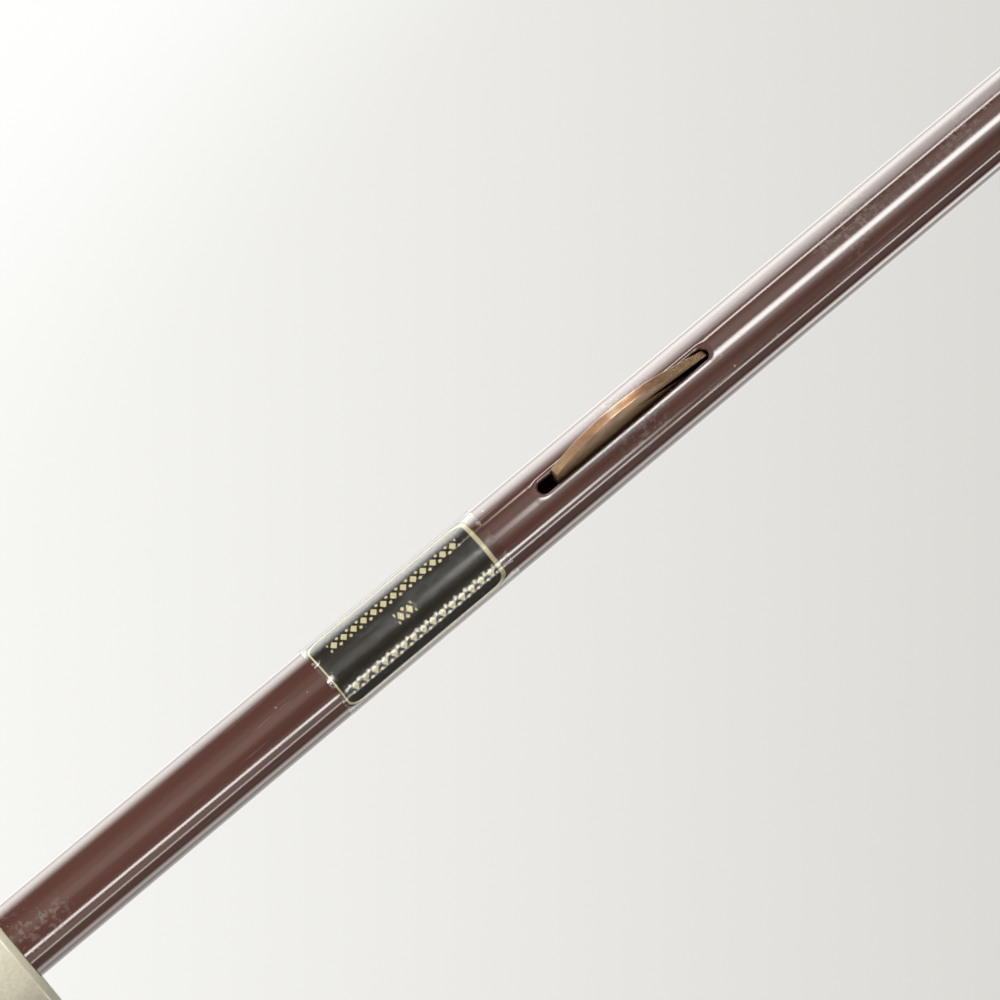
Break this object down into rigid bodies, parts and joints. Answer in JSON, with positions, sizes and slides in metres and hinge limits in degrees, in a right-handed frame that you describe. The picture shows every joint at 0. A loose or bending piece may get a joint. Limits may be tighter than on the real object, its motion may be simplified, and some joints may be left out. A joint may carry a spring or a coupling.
{
  "type": "stick umbrella",
  "caption": "Open stick umbrella: crook handle, enamelled tube shaft with spring catches, and a fabric canopy on ribs and stretchers that folds with the sliding runner.",
  "frame": {"origin": "on the shaft's axis, in the upper rim of the handle's collar, where the bare shaft comes out", "axes": "+Z along the shaft towards the ferrule; both spring catches face -Y; the crook bends towards +X"},
  "size_m": [1.0256, 1.0256, 0.916],
  "materials": {
    "shaft_enamel": "glossy dark reddish-brown enamel",
    "label_print": "black printed label with a gold border, under clear film",
    "handle_wood": "polished brown hardwood",
    "champagne": "pale champagne metal with a fine speckle",
    "catch_bronze": "copper-bronze, drawn and scratched",
    "pin_steel": "plain bright steel wire",
    "frame_paint": "satin dark brown paint",
    "rivet_brass": "bright brass",
    "notch_plastic": "dark brown moulded plastic",
    "runner_metal": "glossy dark reddish-brown enamel",
    "canopy_cloth": "dark brown woven pongee, taut",
    "strap_cloth": "dark brown woven tape",
    "washer_cloth": "dark brown cloth-covered washer",
    "tip_black": "dark plastic end"
  },
  "bodies": {
    "stick": {"shaft_tube": "shaft_enamel", "shaft_label": "label_print", "crook_handle": "handle_wood", "handle_collar": "champagne", "handle_pin": "pin_steel", "shaft_pins": "pin_steel", "top_notch": "notch_plastic", "top_notch_pin": "pin_steel", "top_notch_wire": "pin_steel", "canopy": "canopy_cloth", "crown_washer": "washer_cloth", "tie_strap": "strap_cloth", "ferrule_cup": "champagne", "ferrule": "champagne", "ferrule_tip": "tip_black"},
    "hand_catch": {"hand_spring": "catch_bronze"},
    "top_catch": {"top_spring": "catch_bronze"},
    "rib_1": {"rib_1": "frame_paint", "rib_1_joint": "frame_paint", "rib_1_tip": "champagne"},
    "stretcher_1": {"stretcher_1": "frame_paint", "stretcher_1_rivet": "rivet_brass"},
    "rib_2": {"rib_2": "frame_paint", "rib_2_joint": "frame_paint", "rib_2_tip": "champagne"},
    "stretcher_2": {"stretcher_2": "frame_paint", "stretcher_2_rivet": "rivet_brass"},
    "rib_3": {"rib_3": "frame_paint", "rib_3_joint": "frame_paint", "rib_3_tip": "champagne"},
    "stretcher_3": {"stretcher_3": "frame_paint", "stretcher_3_rivet": "rivet_brass"},
    "rib_4": {"rib_4": "frame_paint", "rib_4_joint": "frame_paint", "rib_4_tip": "champagne"},
    "stretcher_4": {"stretcher_4": "frame_paint", "stretcher_4_rivet": "rivet_brass"},
    "rib_5": {"rib_5": "frame_paint", "rib_5_joint": "frame_paint", "rib_5_tip": "champagne"},
    "stretcher_5": {"stretcher_5": "frame_paint", "stretcher_5_rivet": "rivet_brass"},
    "rib_6": {"rib_6": "frame_paint", "rib_6_joint": "frame_paint", "rib_6_tip": "champagne"},
    "stretcher_6": {"stretcher_6": "frame_paint", "stretcher_6_rivet": "rivet_brass"},
    "rib_7": {"rib_7": "frame_paint", "rib_7_joint": "frame_paint", "rib_7_tip": "champagne"},
    "stretcher_7": {"stretcher_7": "frame_paint", "stretcher_7_rivet": "rivet_brass"},
    "rib_8": {"rib_8": "frame_paint", "rib_8_joint": "frame_paint", "rib_8_tip": "champagne"},
    "stretcher_8": {"stretcher_8": "frame_paint", "stretcher_8_rivet": "rivet_brass"},
    "runner": {"runner_tube": "runner_metal", "runner_notch": "notch_plastic", "runner_wire": "pin_steel"}
  },
  "joints": [
    {"name": "hand_press", "type": "hinge", "parent": "stick", "child": "hand_catch", "pos_m": [0, 0, 0.1312], "axis": [1, 0, 0], "range_deg": [0, 7], "stiffness_Nm_per_rad": 0.8, "deforming": ["hand_spring"]},
    {"name": "top_press", "type": "hinge", "parent": "stick", "child": "top_catch", "pos_m": [0, 0, 0.36929], "axis": [-1, 0, 0], "range_deg": [0, 7], "stiffness_Nm_per_rad": 0.8, "deforming": ["top_spring"]},
    {"name": "fold", "type": "hinge", "parent": "stick", "child": "rib_1", "pos_m": [0.00739, 0.00306, 0.63896], "axis": [-0.3827, 0.9239, 0], "range_deg": [0, 60.9], "deforming": ["canopy", "tie_strap"]},
    {"name": "knee_1", "type": "hinge", "parent": "rib_1", "child": "stretcher_1", "pos_m": [0.22004, 0.09114, 0.54285], "axis": [-0.3827, 0.9239, 0], "range_deg": [-121.8, 0]},
    {"name": "fold_2", "type": "hinge", "parent": "stick", "child": "rib_2", "pos_m": [0.00306, 0.00739, 0.63896], "axis": [-0.9239, 0.3827, 0], "range_deg": [0, 60.9]},
    {"name": "knee_2", "type": "hinge", "parent": "rib_2", "child": "stretcher_2", "pos_m": [0.09114, 0.22004, 0.54285], "axis": [-0.9239, 0.3827, 0], "range_deg": [-121.8, 0]},
    {"name": "fold_3", "type": "hinge", "parent": "stick", "child": "rib_3", "pos_m": [-0.00306, 0.00739, 0.63896], "axis": [-0.9239, -0.3827, 0], "range_deg": [0, 60.9]},
    {"name": "knee_3", "type": "hinge", "parent": "rib_3", "child": "stretcher_3", "pos_m": [-0.09114, 0.22004, 0.54285], "axis": [-0.9239, -0.3827, 0], "range_deg": [-121.8, 0]},
    {"name": "fold_4", "type": "hinge", "parent": "stick", "child": "rib_4", "pos_m": [-0.00739, 0.00306, 0.63896], "axis": [-0.3827, -0.9239, 0], "range_deg": [0, 60.9]},
    {"name": "knee_4", "type": "hinge", "parent": "rib_4", "child": "stretcher_4", "pos_m": [-0.22004, 0.09114, 0.54285], "axis": [-0.3827, -0.9239, 0], "range_deg": [-121.8, 0]},
    {"name": "fold_5", "type": "hinge", "parent": "stick", "child": "rib_5", "pos_m": [-0.00739, -0.00306, 0.63896], "axis": [0.3827, -0.9239, 0], "range_deg": [0, 60.9]},
    {"name": "knee_5", "type": "hinge", "parent": "rib_5", "child": "stretcher_5", "pos_m": [-0.22004, -0.09114, 0.54285], "axis": [0.3827, -0.9239, 0], "range_deg": [-121.8, 0]},
    {"name": "fold_6", "type": "hinge", "parent": "stick", "child": "rib_6", "pos_m": [-0.00306, -0.00739, 0.63896], "axis": [0.9239, -0.3827, 0], "range_deg": [0, 60.9]},
    {"name": "knee_6", "type": "hinge", "parent": "rib_6", "child": "stretcher_6", "pos_m": [-0.09114, -0.22004, 0.54285], "axis": [0.9239, -0.3827, 0], "range_deg": [-121.8, 0]},
    {"name": "fold_7", "type": "hinge", "parent": "stick", "child": "rib_7", "pos_m": [0.00306, -0.00739, 0.63896], "axis": [0.9239, 0.3827, 0], "range_deg": [0, 60.9]},
    {"name": "knee_7", "type": "hinge", "parent": "rib_7", "child": "stretcher_7", "pos_m": [0.09114, -0.22004, 0.54285], "axis": [0.9239, 0.3827, 0], "range_deg": [-121.8, 0]},
    {"name": "fold_8", "type": "hinge", "parent": "stick", "child": "rib_8", "pos_m": [0.00739, -0.00306, 0.63896], "axis": [0.3827, 0.9239, 0], "range_deg": [0, 60.9]},
    {"name": "knee_8", "type": "hinge", "parent": "rib_8", "child": "stretcher_8", "pos_m": [0.22004, -0.09114, 0.54285], "axis": [0.3827, 0.9239, 0], "range_deg": [-121.8, 0]},
    {"name": "runner_level", "type": "hinge", "parent": "stretcher_1", "child": "runner", "pos_m": [0.00739, 0.00306, 0.44674], "axis": [-0.3827, 0.9239, 0], "range_deg": [0, 60.9]}
  ],
  "couplings": [
    {"joint": "knee_1", "follows": "fold", "ratio": -2},
    {"joint": "fold_2", "follows": "fold", "ratio": 1},
    {"joint": "knee_2", "follows": "fold", "ratio": -2},
    {"joint": "fold_3", "follows": "fold", "ratio": 1},
    {"joint": "knee_3", "follows": "fold", "ratio": -2},
    {"joint": "fold_4", "follows": "fold", "ratio": 1},
    {"joint": "knee_4", "follows": "fold", "ratio": -2},
    {"joint": "fold_5", "follows": "fold", "ratio": 1},
    {"joint": "knee_5", "follows": "fold", "ratio": -2},
    {"joint": "fold_6", "follows": "fold", "ratio": 1},
    {"joint": "knee_6", "follows": "fold", "ratio": -2},
    {"joint": "fold_7", "follows": "fold", "ratio": 1},
    {"joint": "knee_7", "follows": "fold", "ratio": -2},
    {"joint": "fold_8", "follows": "fold", "ratio": 1},
    {"joint": "knee_8", "follows": "fold", "ratio": -2},
    {"joint": "runner_level", "follows": "fold", "ratio": 1}
  ]
}
